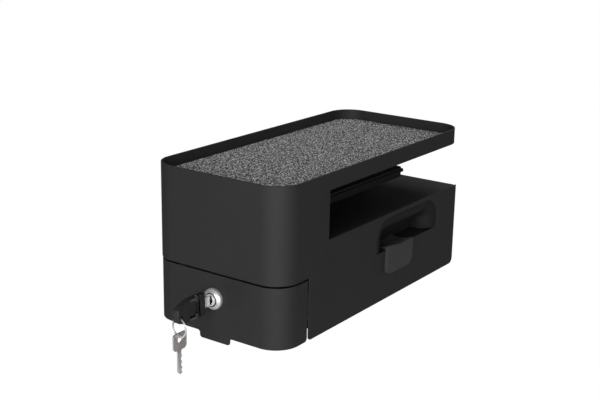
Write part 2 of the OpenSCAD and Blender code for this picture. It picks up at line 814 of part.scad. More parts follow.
module key_blade() color("#c2c3c4") {
    cuts_l = blade_l - blade_tip;
    intersection() {
        // blade with its cuts along the lower edge
        side_plate(-blade_t, blade_t) translate([0, lock_z]) polygon(concat(
            [[grip_start, blade_h], [grip_start, -blade_h], [collar_y - over, -blade_h]],
            [for (b = bit_shares) [collar_y - plug_lip + b[0] * cuts_l, (b[1] - 1 / 2) * blade_h]],
            [[tip_y, 0], [tip_y - blade_tip, blade_h / 2], [tip_y - blade_tip, blade_h]]));
        front_plate(grip_start, tip_y) translate([0, lock_z]) blade_section(0);
    }
    // shoulder in front of the lock, and the tang in the grip
    tang_l = tang_share * fork_l;
    side_plate(-blade_t / 2, blade_t / 2) translate([grip_start - tang_l, lock_z - shoulder_h / 2])
        square([tang_l + shoulder_l, shoulder_h]);
}

// A moulded plate of the grip's thickness between two Y places, with round edges and ends
module moulded_plate(y0, y1) intersection() {
    side_plate(-grip_t / 2, grip_t / 2) children();
    front_plate(y0, y1) round_rect(-grip_t / 2, lock_z - grip_h / 2, grip_t / 2, lock_z + grip_h / 2,
        grip_edge);
    translate([0, 0, lock_z - grip_h / 2]) linear_extrude(grip_h)
        round_rect(-grip_t / 2, y0, grip_t / 2, y1, grip_edge);
}

// Outline of the grip's fork part in Y and Z
module fork_outline() {
    round_rect(hinge_y, lock_z - grip_h / 2, grip_start, lock_z + grip_h / 2, fork_r);
}

module key_fork() color("#161617") difference() {
    union() {
        difference() {
            moulded_plate(hinge_y, grip_start) fork_outline();
            // room for the grip's knuckle and for its corners when it folds
            block([-grip_t, hinge_y - over, lock_z - grip_h],
                [grip_t, hinge_y + knuckle_d / 2 + run_gap, lock_z + grip_h]);
        }
        // two knuckles, above and below the grip's own
        for (m = [-1, 1]) translate([0, 0, lock_z + m * grip_h * (1 + knuckle_share) / 4])
            knuckle(grip_h * (1 - knuckle_share) / 2 - run_gap);
    }
    // seat of the blade's tang
    side_plate(-blade_t / 2 - weld_gap / 2, blade_t / 2 + weld_gap / 2)
        translate([grip_start - tang_share * fork_l - weld_gap, lock_z - shoulder_h / 2 - weld_gap])
            square([fork_l, shoulder_h + 2 * weld_gap]);
    translate([0, hinge_y, lock_z - grip_h]) cylinder(d = pin_d + 2 * plug_gap, h = 2 * grip_h);
}

// One hinge knuckle of a given height, with the web that joins it to its plate
module knuckle(height) {
    translate([0, hinge_y, -height / 2]) cylinder(d = knuckle_d, h = height);
    block([-grip_t / 4, hinge_y, -height / 2], [grip_t / 4, hinge_y + knuckle_d, height / 2]);
}

module hinge_pin() color("#8d8f92") translate([0, hinge_y, lock_z - grip_h / 2])
    cylinder(d = pin_d, h = grip_h);

module key_grip() color("#161617") {
    start = hinge_y - knuckle_d / 2 - run_gap;
    top = lock_z + grip_h / 2;
    low = lock_z - grip_h / 2;
    knuckle_h = grip_h * knuckle_share - 2 * run_gap;
    difference() {
        union() {
            moulded_plate(grip_end, start) difference() {
                polygon([[start, low], [start, top], [hinge_y - grip_flat_share * grip_l, top],
                    [grip_end, top - grip_fall], [grip_end, low + grip_rise]]);
                translate([grip_end, low + grip_rise]) corner_cut(grip_corner_r);
                translate([grip_end, top - grip_fall]) mirror([0, 1]) corner_cut(grip_corner_r);
            }
            // knuckle between the two of the fork
            translate([0, hinge_y, lock_z - knuckle_h / 2]) cylinder(d = knuckle_d, h = knuckle_h);
            block([-grip_t / 4, start - over, lock_z - knuckle_h / 2],
                [grip_t / 4, hinge_y, lock_z + knuckle_h / 2]);
        }
        translate([0, hinge_y, lock_z - grip_h]) cylinder(d = pin_d + 2 * plug_gap, h = 2 * grip_h);
        // hole for the ring
        translate([-grip_t, ring_y, ring_z]) rotate([0, 90, 0]) cylinder(d = hole_d, h = 2 * grip_t);
    }
}

module key_ring() color("#d0d1d2") translate([0, ring_y, ring_top - ring_r])
    rotate([90, 0, ring_turn]) rotate_extrude() translate([ring_r, 0]) circle(d = wire_d, $fn = 32);

module spare_key() color("#a9a39f") {
    low = spare_top - bow_h;
    tip = spare_z - spare_l;
    half = spare_blade_w / 2;
    side_plate(-spare_t / 2, spare_t / 2) translate([ring_y, 0]) difference() {
        union() {
            round_rect(-bow_w / 2, low, bow_w / 2, spare_top, bow_r);
            // blade with its cuts along one edge
            polygon(concat([[half, low + spare_neck], [-half, low + spare_neck],
                [-half, tip + spare_tip], [0, tip]],
                [for (b = bit_shares) [half - b[1] * spare_blade_w,
                    tip + spare_tip / 2 + b[0] * (low - tip - spare_tip)]]));
        }
        translate([0, spare_z]) circle(d = spare_hole_d);
        // notched lower corners of the bow
        for (s = [-1, 1]) translate([s * bow_w / 2, low]) rotate(45)
            square(bow_notch, center = true);
    }
}

module clamp_plate() color("#55575a") difference() {
    union() {
        translate([0, clamp_y, plate_low]) linear_extrude(plate_t)
            round_rect(-clamp_w / 2, -clamp_l / 2, clamp_w / 2, clamp_l / 2, plate_r);
        // stiffening lips along both long edges
        for (s = [-1, 1]) translate([s * (clamp_w / 2 - plate_t / 2), clamp_y, 0])
            block([-plate_t / 2, -clamp_l / 2 + lip_back, plate_low - plate_lip],
                [plate_t / 2, clamp_l / 2 - lip_back, plate_low + plate_t / 2]);
    }
    for (y = screw_places) translate([0, y, plate_low - over])
        cylinder(d = neck_d + run_gap, h = plate_t + 2 * over);
}

module clamp_pad() color("#18181a") {
    w = clamp_w / 2 - pad_inset;
    l = clamp_l / 2 - pad_inset;
    difference() {
        translate([0, clamp_y, plate_z]) linear_extrude(pad_t) round_rect(-w, -l, w, l, plate_r);
        for (y = screw_places) translate([0, y, plate_z - over])
            cylinder(d = head_d + 2 * head_room, h = pad_t + 2 * over);
        // grooves across the pad
        for (share = groove_shares) translate([0, clamp_y + share * clamp_l, clamp_top])
            block([-clamp_w, -groove_w / 2, -pad_t / 3], [clamp_w, groove_w / 2, over]);
    }
}

// Clamp screw: threaded rod with a core in the knob, and a neck and head that turn in the plate
module clamp_screw(y) color("#a5a7aa") translate([0, y, 0]) {
    translate([0, 0, knob_top]) cylinder(d = screw_d, h = plate_low - run_gap - knob_top);
    translate([0, 0, knob_top - knob_h + knob_floor]) cylinder(d = core_d, h = knob_h);
    translate([0, 0, plate_low - over]) cylinder(d = neck_d, h = plate_t + over + run_gap);
    translate([0, 0, plate_z + run_gap / 2]) cylinder(d = head_d, h = head_t);
}

module clamp_knob(y) color("#1c1c1e") translate([0, y, knob_top - knob_h]) difference() {
    union() {
        cylinder(d = knob_d - 2 * lobe_reach, h = knob_h);
        for (i = [1:lobes]) rotate(i * 360 / lobes) translate([(knob_d - lobe_d) / 2, 0, 0])
            cylinder(d = lobe_d, h = knob_h);
    }
    translate([0, 0, knob_floor]) cylinder(d = core_d, h = knob_h);
}

module clamp_screw_front() clamp_screw(screw_places[0]);
module clamp_screw_rear() clamp_screw(screw_places[1]);
module clamp_knob_front() clamp_knob(screw_places[0]);
module clamp_knob_rear() clamp_knob(screw_places[1]);

body_shell();
tray_floor();
tray_mat();
desk_pads();
throat_panel();
edge_bumper();
front_shelf();
lock_catch();
back_panel();
base_panel();
back_screws();
hook_recess();
side_hook();
screw_bushes();
drawer_bumpers();
slide_outer_left();
slide_outer_right();
clamp_plate();
clamp_pad();
clamp_screw_front();
clamp_knob_front();
clamp_screw_rear();
clamp_knob_rear();
slide_middle_left();
slide_middle_right();
drawer_front();
drawer_box();
drawer_liner();
slide_inner_left();
slide_inner_right();
slide_rivets();
front_rivets();
lock_housing();
lock_nut();
lock_plug();
lock_cam();
cam_screw();
key_blade();
key_fork();
hinge_pin();
key_grip();
key_ring();
spare_key();
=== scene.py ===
# Desk-edge locker: black powder-coated steel, felt tray mat, cam lock with a folding key.
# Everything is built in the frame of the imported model: the desk's top front edge is the origin.
# The dictionaries of the pieces give lengths in mm, those of the camera and stage in metres.
import math

import bmesh
import bpy
import numpy as np
from mathutils import Matrix, Vector
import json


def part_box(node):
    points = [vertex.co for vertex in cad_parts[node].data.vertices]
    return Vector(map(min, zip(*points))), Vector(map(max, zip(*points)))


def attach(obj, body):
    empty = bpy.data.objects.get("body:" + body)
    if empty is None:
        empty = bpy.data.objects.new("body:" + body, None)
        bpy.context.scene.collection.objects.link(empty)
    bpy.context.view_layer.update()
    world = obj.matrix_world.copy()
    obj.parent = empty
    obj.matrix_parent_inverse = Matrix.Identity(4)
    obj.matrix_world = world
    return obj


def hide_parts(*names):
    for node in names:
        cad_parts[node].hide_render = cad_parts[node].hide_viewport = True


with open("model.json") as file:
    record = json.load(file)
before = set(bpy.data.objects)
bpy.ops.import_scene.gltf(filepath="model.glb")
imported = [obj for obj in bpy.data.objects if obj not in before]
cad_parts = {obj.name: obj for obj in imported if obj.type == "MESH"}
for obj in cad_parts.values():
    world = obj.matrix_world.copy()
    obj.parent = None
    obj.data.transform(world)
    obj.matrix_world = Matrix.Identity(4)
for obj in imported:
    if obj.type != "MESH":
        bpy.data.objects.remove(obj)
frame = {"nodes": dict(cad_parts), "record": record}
nodes = frame["nodes"]
bodies = frame["record"]["behaviour"]["bodies"]
bodyOf = {node: body for body, group in bodies.items() for node in group}
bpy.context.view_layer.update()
mm = 0.001
hair = 0.001 * mm  # nearer than this counts as the same place
print("frame loaded:", len(nodes), "nodes")


def addObject(name, data):
    made = bpy.data.objects.new(name, data)
    bpy.context.scene.collection.objects.link(made)
    return made


# Materials
def nodeTree(name):
    material = bpy.data.materials.new(name)
    material.use_nodes = True
    tree = material.node_tree
    return material, tree, tree.nodes["Principled BSDF"]


# A node with its sockets and its settings filled in by name
def addNode(tree, kind, **settings):
    made = tree.nodes.new(kind)
    for key, value in settings.items():
        if key in made.inputs:
            made.inputs[key].default_value = value
        else:
            setattr(made, key, value)
    return made


# The noises' octaves for each use, and how much finer the gloss drifts than the colour
noise = {"roughness": 0.6, "tint": 3, "gloss": 4, "grain": 2, "glossFiner": 3,
         "metalTint": 4, "metalLines": 5, "fibres": 3}


# Noise on Object coordinates, spread over a ramp between two colours, or between two greys that
# are given as one number each. Returns the ramp's colour and the bare noise.
def noiseRamp(tree, scale, octaves, low, high, span=(0.3, 0.7), stretch=(1, 1, 1)):
    coords = addNode(tree, "ShaderNodeTexCoord")
    mapping = addNode(tree, "ShaderNodeMapping", Scale=stretch)
    clouds = addNode(tree, "ShaderNodeTexNoise", Scale=scale, Detail=octaves,
                     Roughness=noise["roughness"])
    ramp = addNode(tree, "ShaderNodeValToRGB")
    for element, position, shade in zip(ramp.color_ramp.elements, span, (low, high)):
        element.position = position
        element.color = (*np.broadcast_to(shade, 3), 1)
    tree.links.new(coords.outputs["Object"], mapping.inputs["Vector"])
    tree.links.new(mapping.outputs["Vector"], clouds.inputs["Vector"])
    tree.links.new(clouds.outputs["Fac"], ramp.inputs["Fac"])
    return ramp.outputs["Color"], clouds.outputs["Fac"]


def addBump(tree, shader, height, strength, distance):
    bump = addNode(tree, "ShaderNodeBump", Strength=strength, Distance=distance)
    tree.links.new(height, bump.inputs["Height"])
    tree.links.new(bump.outputs["Normal"], shader.inputs["Normal"])


# A painted, plastic or rubber finish: a fine grain, slight drift of colour and of gloss
def coatedFinish(name, look):
    material, tree, shader = nodeTree(name)
    color = np.array(look["color"])
    tint, _ = noiseRamp(tree, look["driftScale"], noise["tint"],
                        color * (1 - look["drift"]), color * (1 + look["drift"]))
    gloss, _ = noiseRamp(tree, look["driftScale"] * noise["glossFiner"], noise["gloss"],
                         look["roughness"] - look["roughnessDrift"],
                         look["roughness"] + look["roughnessDrift"])
    _, grain = noiseRamp(tree, look["grainScale"], noise["grain"], 0, 1)
    tree.links.new(tint, shader.inputs["Base Color"])
    tree.links.new(gloss, shader.inputs["Roughness"])
    addBump(tree, shader, grain, look["bump"], look["grainDepth"])
    shader.inputs["Specular IOR Level"].default_value = look["specular"]
    return material


# A metal finish with brush lines or plating haze, drawn out along the axis whose stretch is small
def metalFinish(name, look):
    material, tree, shader = nodeTree(name)
    color = np.array(look["color"])
    tint, _ = noiseRamp(tree, look["scale"], noise["metalTint"], color * (1 - look["drift"]),
                        color * (1 + look["drift"]), stretch=look["stretch"])
    gloss, lines = noiseRamp(tree, look["scale"], noise["metalLines"],
                             look["roughness"] - look["roughnessDrift"],
                             look["roughness"] + look["roughnessDrift"], stretch=look["stretch"])
    shader.inputs["Metallic"].default_value = look["metallic"]
    tree.links.new(tint, shader.inputs["Base Color"])
    tree.links.new(gloss, shader.inputs["Roughness"])
    addBump(tree, shader, lines, look["bump"], look["lineDepth"])
    return material


# Needled felt: light and dark fibres in short clumps, with a soft sheen
def feltFinish(name, look):
    material, tree, shader = nodeTree(name)
    tint, fibres = noiseRamp(tree, look["fibreScale"], noise["fibres"], look["dark"],
                             look["light"], span=look["span"])
    tree.links.new(tint, shader.inputs["Base Color"])
    shader.inputs["Roughness"].default_value = look["roughness"]
    shader.inputs["Sheen Weight"].default_value = look["sheen"]
    shader.inputs["Sheen Roughness"].default_value = look["sheenRoughness"]
    shader.inputs["Specular IOR Level"].default_value = look["specular"]
    addBump(tree, shader, fibres, look["bump"], look["fibreDepth"])
    return material


# Scales are noise cells per metre; drift is how far the colour wanders, as a share of it
coatLook = {"color": (0.0203, 0.0202, 0.02), "drift": 0.04, "driftScale": 14, "roughness": 0.58,
            "roughnessDrift": 0.03, "grainScale": 2600, "grainDepth": 0.06 * mm, "bump": 0.3,
            "specular": 0.4}
# A darker coat for the inner parts: painted shade of the inside
innerShadeCoatLook = dict(coatLook, color=(0.014, 0.014, 0.0139), roughness=0.6, specular=0.15)
hookLook = {"color": (0.051, 0.051, 0.0515), "drift": 0.06, "driftScale": 30, "roughness": 0.5,
            "roughnessDrift": 0.04, "grainScale": 3200, "grainDepth": 0.08 * mm, "bump": 0.4,
            "specular": 0.35}
keyPlasticLook = {"color": (0.023, 0.023, 0.0232), "drift": 0.1, "driftScale": 60,
                  "roughness": 0.48, "roughnessDrift": 0.05, "grainScale": 4000,
                  "grainDepth": 0.04 * mm, "bump": 0.25, "specular": 0.45}
# A lighter plastic for the outer faces of the grip's ribs: a painted highlight
ribHighlightLook = dict(keyPlasticLook, color=(0.1, 0.1, 0.1005))
knobLook = dict(hookLook, color=(0.022, 0.022, 0.0222), specular=0.3)
rubberLook = {"color": (0.016, 0.016, 0.0165), "drift": 0.15, "driftScale": 90, "roughness": 0.8,
              "roughnessDrift": 0.08, "grainScale": 1800, "grainDepth": 0.1 * mm, "bump": 0.5,
              "specular": 0.2}
# Near-black for the keyway, the lock's groove and the grip's grooves: painted shade
paintedShadeLook = dict(rubberLook, color=(0.004, 0.004, 0.004), roughness=0.7, specular=0.1)
blackZincLook = {"color": (0.05, 0.05, 0.052), "drift": 0.12, "scale": 700, "stretch": (1, 1, 1),
                 "roughness": 0.4, "roughnessDrift": 0.08, "bump": 0.1, "lineDepth": 0.1 * mm,
                 "metallic": 1}
zincLook = dict(blackZincLook, color=(0.52, 0.53, 0.55), drift=0.1, scale=240,
                stretch=(1, 0.06, 1), roughness=0.36, bump=0.12)
chromeLook = dict(blackZincLook, color=(0.92, 0.92, 0.925), drift=0.02, scale=160, roughness=0.3,
                  roughnessDrift=0.03, bump=0.02, metallic=0.75)
lockLook = dict(chromeLook, color=(0.9, 0.9, 0.895), drift=0.01, roughness=0.38,
                roughnessDrift=0.01, bump=0.005, metallic=0.68)
bladeLook = dict(lockLook, color=(0.9, 0.9, 0.89), roughness=0.45)
nickelLook = dict(blackZincLook, color=(0.62, 0.6, 0.58), drift=0.06, scale=900,
                  stretch=(1, 0.15, 1), roughness=0.3, roughnessDrift=0.06)
spareLook = dict(blackZincLook, color=(0.78, 0.74, 0.715), stretch=(1, 0.3, 0.1), roughness=0.42,
                 bump=0.15)
# A lighter metal for the spare key's blade: a painted highlight
bladeHighlightLook = dict(spareLook, color=(0.9, 0.885, 0.87), roughness=0.6)
matLook = {"fibreScale": 560, "dark": (0.004, 0.004, 0.004), "light": (0.95, 0.945, 0.94),
           "span": (0.54, 0.585), "roughness": 0.95, "sheen": 0.2, "sheenRoughness": 0.5,
           "specular": 0.15, "bump": 0.6, "fibreDepth": 0.6 * mm}
linerLook = dict(matLook, fibreScale=900, dark=(0.012, 0.012, 0.0122),
                 light=(0.09, 0.09, 0.091), span=(0.38, 0.66), sheen=0.15)

powderCoat = coatedFinish("blackPowderCoat", coatLook)
innerShadeCoat = coatedFinish("innerPowderCoatPaintedShade", innerShadeCoatLook)
hookPlastic = coatedFinish("hookPlastic", hookLook)
keyPlastic = coatedFinish("keyPlastic", keyPlasticLook)
ribHighlightPlastic = coatedFinish("keyPlasticPaintedHighlight", ribHighlightLook)
knobPlastic = coatedFinish("knobPlastic", knobLook)
blackRubber = coatedFinish("blackRubber", rubberLook)
blackZinc = metalFinish("blackZinc", blackZincLook)
zincSteel = metalFinish("zincPlatedSteel", zincLook)
chromePlate = metalFinish("chromePlate", chromeLook)
satinChrome = metalFinish("satinChrome", lockLook)
bladeSteel = metalFinish("bladeSteel", bladeLook)
nickelPlate = metalFinish("nickelPlate", nickelLook)
paintedShadeBlack = coatedFinish("paintedShadeBlack", paintedShadeLook)
spareMetal = metalFinish("spareKeyMetal", spareLook)
bladeHighlightMetal = metalFinish("spareKeyPaintedHighlight", bladeHighlightLook)
greyFelt = feltFinish("greyFelt", matLook)
darkFelt = feltFinish("darkFelt", linerLook)
print("finishes made")


# Meshes
def makePiece(name, points, faces, material, node):
    mesh = bpy.data.meshes.new(name)
    mesh.from_pydata(points.reshape(-1, 3).tolist(), [], faces)
    mesh.materials.append(material)
    piece = addObject(name, mesh)
    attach(piece, bodyOf[node])
    return piece


# Smooth shading, with edges sharper than the crease (in degrees) left sharp
def smoothMesh(mesh, crease=35):
    mesh.shade_smooth()
    mesh.set_sharp_from_angle(angle=math.radians(crease))


# Turns the faces of a closed mesh outwards
def faceOutwards(mesh):
    shape = bmesh.new()
    shape.from_mesh(mesh)
    bmesh.ops.recalc_face_normals(shape, faces=shape.faces)
    shape.to_mesh(mesh)
    shape.free()


# Faces of a grid of rows x columns of points, closed round either way if asked
def gridFaces(rows, columns, closeRows=False, closeColumns=False):
    row = np.arange(rows if closeRows else rows - 1)
    column = np.arange(columns if closeColumns else columns - 1)
    i, j = np.meshgrid(row, column, indexing="ij")
    nextI, nextJ = (i + 1) % rows, (j + 1) % columns
    return np.stack([i * columns + j, nextI * columns + j, nextI * columns + nextJ,
                     i * columns + nextJ], -1).reshape(-1, 4)


# How the edges of the CAD meshes are rounded: weld in mm, angles in degrees
edging = {"weld": 0.002, "flatAngle": 0.5, "segments": 2, "sharpAngle": 40}


# A welded copy of a node's mesh with its flat faces joined and its sharp edges rounded off
def softEdged(node, width, material):
    mesh = nodes[node].data.copy()
    mesh.name = node + "Soft"
    shape = bmesh.new()
    shape.from_mesh(mesh)
    bmesh.ops.remove_doubles(shape, verts=shape.verts, dist=edging["weld"] * mm)
    bmesh.ops.dissolve_limit(shape, angle_limit=math.radians(edging["flatAngle"]),
                             verts=shape.verts, edges=shape.edges)
    shape.to_mesh(mesh)
    shape.free()
    mesh.materials.clear()
    mesh.materials.append(material)
    smoothMesh(mesh)
    piece = addObject(node + "Soft", mesh)
    bevel = piece.modifiers.new("edges", "BEVEL")
    bevel.width = width
    bevel.segments = edging["segments"]
    bevel.limit_method = "ANGLE"
    bevel.angle_limit = math.radians(edging["sharpAngle"])
    bevel.harden_normals = True
    bevel.use_clamp_overlap = True
    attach(piece, bodyOf[node])
    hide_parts(node)
    return piece


# Sheet metal, moulded and turned parts keep their CAD shape, with the small edge radius of the
# real ones: (radius in mm, finish)
edged = {
    "body_shell": (0.35, powderCoat), "tray_floor": (0.3, powderCoat),
    "drawer_front": (0.35, powderCoat), "back_panel": (0.3, powderCoat),
    # These inner parts take the darker inner coat, which paints in the shade of the inside
    "hook_recess": (0.3, innerShadeCoat), "throat_panel": (0.3, innerShadeCoat),
    "front_shelf": (0.3, innerShadeCoat), "base_panel": (0.3, innerShadeCoat),
    "drawer_box": (0.25, innerShadeCoat), "clamp_plate": (0.5, innerShadeCoat),
    "side_hook": (0.8, hookPlastic),
    "lock_catch": (0.3, zincSteel), "lock_cam": (0.25, zincSteel), "lock_nut": (0.25, zincSteel),
    "cam_screw": (0.12, zincSteel), "screw_bushes": (0.25, zincSteel),
    "slide_outer_left": (0.12, zincSteel), "slide_outer_right": (0.12, zincSteel),
    "slide_middle_left": (0.12, zincSteel), "slide_middle_right": (0.12, zincSteel),
    "slide_inner_left": (0.12, zincSteel), "slide_inner_right": (0.12, zincSteel),
    "desk_pads": (0.5, blackRubber), "edge_bumper": (0.6, blackRubber),
    "clamp_pad": (0.35, blackRubber), "drawer_bumpers": (0.6, blackRubber),
    "back_screws": (0.25, blackZinc),
    "lock_plug": (0.1, satinChrome), "key_blade": (0.15, bladeSteel),
    "spare_key": (0.22, spareMetal), "key_fork": (0.3, keyPlastic), "key_grip": (0.3, keyPlastic),
    "hinge_pin": (0.2, nickelPlate),
}
soft = {node: softEdged(node, radius * mm, finish) for node, (radius, finish) in edged.items()}
print("parts edged:", len(soft))

# The rivets stay as they are, in zinc
for node in ("slide_rivets", "front_rivets"):
    nodes[node].data.materials.clear()
    nodes[node].data.materials.append(zincSteel)


# Half the width of a rounded rectangle at y: the straight half width, and the root of
# (radius squared - inset squared), where the inset is how far y is into the corner
def roundedHalfWidth(y, halfWidth, y0, y1, radius):
    inset = np.maximum(0, np.maximum(y0 + radius - y, y - (y1 - radius)))
    return halfWidth - radius + np.sqrt(np.maximum(0, radius ** 2 - inset ** 2))


# The felt is a grid over its plan, a rounded rectangle: rows run along Y, closer at the round
# ends by y = t - crowding * sin(full turn * t), and each row is squeezed to the plan's width
# there. The top lies in small lumps, random heights averaged over two by two points, and falls
# at the rim by roundOff * (1 - rim) squared.
def feltSheet(name, node, material, look):
    low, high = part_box(node)
    draw = np.random.default_rng(look["seed"])
    radius = look["radius"] * mm
    rows = int((high[1] - low[1]) / (look["cell"] * mm))
    columns = int((high[0] - low[0]) / (look["cell"] * mm))
    t = np.linspace(0, 1, rows)
    y = low[1] + (high[1] - low[1]) * (t - np.sin(2 * np.pi * t) * look["crowding"])
    across = np.linspace(-1, 1, columns)
    x = roundedHalfWidth(y, high[0], low[1], high[1], radius)[:, None] * across[None, :]
    lumps = draw.normal(size=(rows, columns))
    lumps = (lumps + np.roll(lumps, 1, 0) + np.roll(lumps, 1, 1) + np.roll(lumps, 1, (0, 1))) / 4
    inner = np.minimum(1 - np.abs(across)[None, :], np.minimum(t, 1 - t)[:, None])
    rim = np.minimum(inner * look["rimSteepness"], 1)
    z = (high[2] - look["lump"] * mm * (1 + np.clip(lumps, -1, 1)) / 2
         - (1 - rim) ** 2 * (look["roundOff"] * mm))
    top = np.stack([x, np.repeat(y[:, None], columns, 1), z], -1)
    bottom = top.copy()
    bottom[..., 2] = low[2]
    # the top's faces, the bottom's, and a wall between their outlines
    count = rows * columns
    quads = gridFaces(rows, columns)
    number = np.arange(count).reshape(rows, columns)
    outline = np.concatenate([number[0], number[1:, -1], number[-1, -2::-1], number[-2:0:-1, 0]])
    following = np.roll(outline, -1)
    wall = np.stack([outline, outline + count, following + count, following], -1)
    faces = np.concatenate([quads[:, ::-1], quads + count, wall]).tolist()
    piece = makePiece(name, np.stack([top, bottom]), faces, material, node)
    faceOutwards(piece.data)
    piece.data.shade_smooth()
    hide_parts(node)


trayMat = {"cell": 1.5, "radius": 26.1, "lump": 0.5, "roundOff": 0.8, "rimSteepness": 60,
           "crowding": 0.12, "seed": 4, "under": "tray_floor"}
drawerLiner = {"cell": 2.5, "radius": 3.5, "lump": 0.25, "roundOff": 0.4, "rimSteepness": 60,
               "crowding": 0.12, "seed": 9, "under": "drawer_box"}
feltSheet("feltMat", "tray_mat", greyFelt, trayMat)
feltSheet("drawerLining", "drawer_liner", darkFelt, drawerLiner)
print("felt laid")


# Cuts boxes, each given by its low and high corner in mm, out of a piece's own mesh, or joins
# them to it. A box is its eight corners, low + share * (high - low), and six sides.
def carve(piece, boxes, operation="DIFFERENCE"):
    corners = np.array([(x, y, z) for x in (0, 1) for y in (0, 1) for z in (0, 1)])
    sides = np.array([(0, 1, 3, 2), (4, 6, 7, 5), (0, 4, 5, 1), (2, 3, 7, 6), (0, 2, 6, 4),
                      (1, 5, 7, 3)])
    lows, highs = np.array(boxes, float).transpose(1, 0, 2)
    points = (lows[:, None] + corners * (highs - lows)[:, None]) * mm
    faces = (sides[None] + 8 * np.arange(len(boxes))[:, None, None]).reshape(-1, 4)
    cutterMesh = bpy.data.meshes.new("cutter")
    cutterMesh.from_pydata(points.reshape(-1, 3).tolist(), [], faces.tolist())
    cutter = addObject("cutter", cutterMesh)
    body = addObject("carved", piece.data.copy())
    cut = body.modifiers.new("cut", "BOOLEAN")
    cut.object, cut.operation, cut.solver = cutter, operation, "EXACT"
    evaluated = body.evaluated_get(bpy.context.evaluated_depsgraph_get())
    carved = bpy.data.meshes.new_from_object(evaluated)
    bpy.data.objects.remove(body)
    bpy.data.objects.remove(cutter)
    smoothMesh(carved)
    piece.data = carved


# The same boxes and, after them, their mirror images across the mid plane
def bothSides(boxes):
    return boxes + [((-high[0], *low[1:]), (-low[0], *high[1:])) for low, high in boxes]


# Gives another finish to the faces whose centre, in mm, passes a test
def secondFinish(mesh, material, test):
    mesh.materials.append(material)
    centres = np.zeros(len(mesh.polygons) * 3)
    mesh.polygons.foreach_get("center", centres)
    finishes = np.zeros(len(mesh.polygons), np.int32)
    mesh.polygons.foreach_get("material_index", finishes)
    finishes[test(centres.reshape(-1, 3) / mm)] = len(mesh.materials) - 1
    mesh.polygons.foreach_set("material_index", finishes)


# A straight cut through a mesh's faces, so that a finish can change there
def cutAcross(mesh, place, normal):
    shape = bmesh.new()
    shape.from_mesh(mesh)
    bmesh.ops.bisect_plane(shape, geom=shape.verts[:] + shape.edges[:] + shape.faces[:],
                           dist=hair, plane_co=Vector(place) * mm, plane_no=normal)
    shape.to_mesh(mesh)
    shape.free()


# Which values lie between two others
def between(values, low, high):
    return (values > low) & (values < high)


# A closed surface of points and faces that stands for a CAD node
def surfacePiece(name, node, material, surface, crease):
    points, faces = surface
    piece = makePiece(name, points, faces, material, node)
    faceOutwards(piece.data)
    smoothMesh(piece.data, crease)
    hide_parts(node)
    return piece


# A turned surface: each profile pair (radius, place) goes round the axis, with
# point = centre + place * axis + radius * (cos angle * side + sin angle * other side).
# bend(radius, place, angle) moves the radius for a thread or for lobes. A closed profile makes a
# ring-shaped body, an open one is closed at both ends by a flat face.
def turned(profile, centre, axis, around, bend, closed=False):
    axis = np.asarray(axis, float)
    side = np.cross(axis, (0, 0, 1) if axis[2] == 0 else (1, 0, 0))
    other = np.cross(axis, side)
    angle = np.linspace(0, 2 * np.pi, around, endpoint=False)[None, :]
    radius = bend(np.repeat(profile[:, :1], around, 1), np.repeat(profile[:, 1:], around, 1),
                  angle)
    place = np.repeat(profile[:, 1:], around, 1)
    points = (np.asarray(centre) + place[..., None] * axis + radius[..., None]
              * (np.cos(angle)[..., None] * side + np.sin(angle)[..., None] * other))
    rows = len(profile)
    faces = gridFaces(rows, around, closeRows=closed, closeColumns=True).tolist()
    if not closed:
        faces += [list(range(around)), list(range((rows - 1) * around, rows * around))]
    return points, faces


# The profile of a threaded piece: many rows at the thread's radius, and what comes before and
# after them
def threadedProfile(look):
    low, high, count = look["rows"]
    rows = np.stack([np.full(count, look["threadRadius"]), np.linspace(low, high, count)], 1)
    return np.concatenate([look["before"], rows, look["after"]]) * mm


# A screw thread on the rows of its own radius: the radius falls by a V-shaped wave of
# (place / pitch - angle / full turn), which fades out over one pitch at both ends
def thread(look):
    low, high = (end * mm for end in look["threadEnds"])
    pitch = look["pitch"] * mm

    def bend(radius, place, angle):
        phase = np.mod(place / pitch - angle / (2 * np.pi), 1)
        depth = look["depth"] * mm * (1 - 2 * np.abs(phase - 0.5))
        fade = np.clip(np.minimum(place - low, high - place) / pitch, 0, 1)
        onThread = np.abs(radius - look["threadRadius"] * mm) < hair
        return np.where(onThread, radius - depth * fade, radius)
    return bend


# Cam lock: bore, barrel and collar in pairs (radius, place in front of the drawer). The collar
# has a slanted band and a groove round the plug; keyway and groove are near-black, painted shade.
camLock = {"front": -80.5, "height": -110.5, "around": 72, "crease": 30,
           "before": [(6.3, 5.2), (6.3, -19.5)],  # the bore
           "threadRadius": 9.5, "rows": (-19.5, -0.1, 130),  # the barrel: from, to, how many
           "threadEnds": (-19.5, -2.5), "pitch": 1.0, "depth": 0.35,
           "after": [(9.56, 0), (10.6, 0.05), (11.1, 0.3), (11.25, 0.8), (11.25, 2.9),
                     (11.2, 3.3), (11.0, 3.7), (10.7, 4.15), (10.2, 4.75), (9.6, 5.4),
                     (9.0, 6.0), (8.7, 6.3), (8.5, 6.5), (8.3, 6.58), (8.1, 6.55), (7.9, 6.4),
                     (7.45, 6.0), (7.35, 5.8), (7.3, 5.2)],  # the collar, from foot to groove
           "keywayRadius": 5.9, "keywayFrom": -87.45, "keywayTo": -64,
           "grooveRadius": 7.6, "grooveFrom": -86.9}
lockPlace = (0, camLock["front"] * mm, camLock["height"] * mm)
lockSurface = turned(threadedProfile(camLock), lockPlace, (0, -1, 0), camLock["around"],
                     thread(camLock), closed=True)
lockCollar = surfacePiece("lockCollar", "lock_housing", satinChrome, lockSurface,
                          camLock["crease"])


# How far a point lies from the lock's axis, in mm
def fromLockAxis(c):
    return np.hypot(c[:, 0], c[:, 2] - camLock["height"])


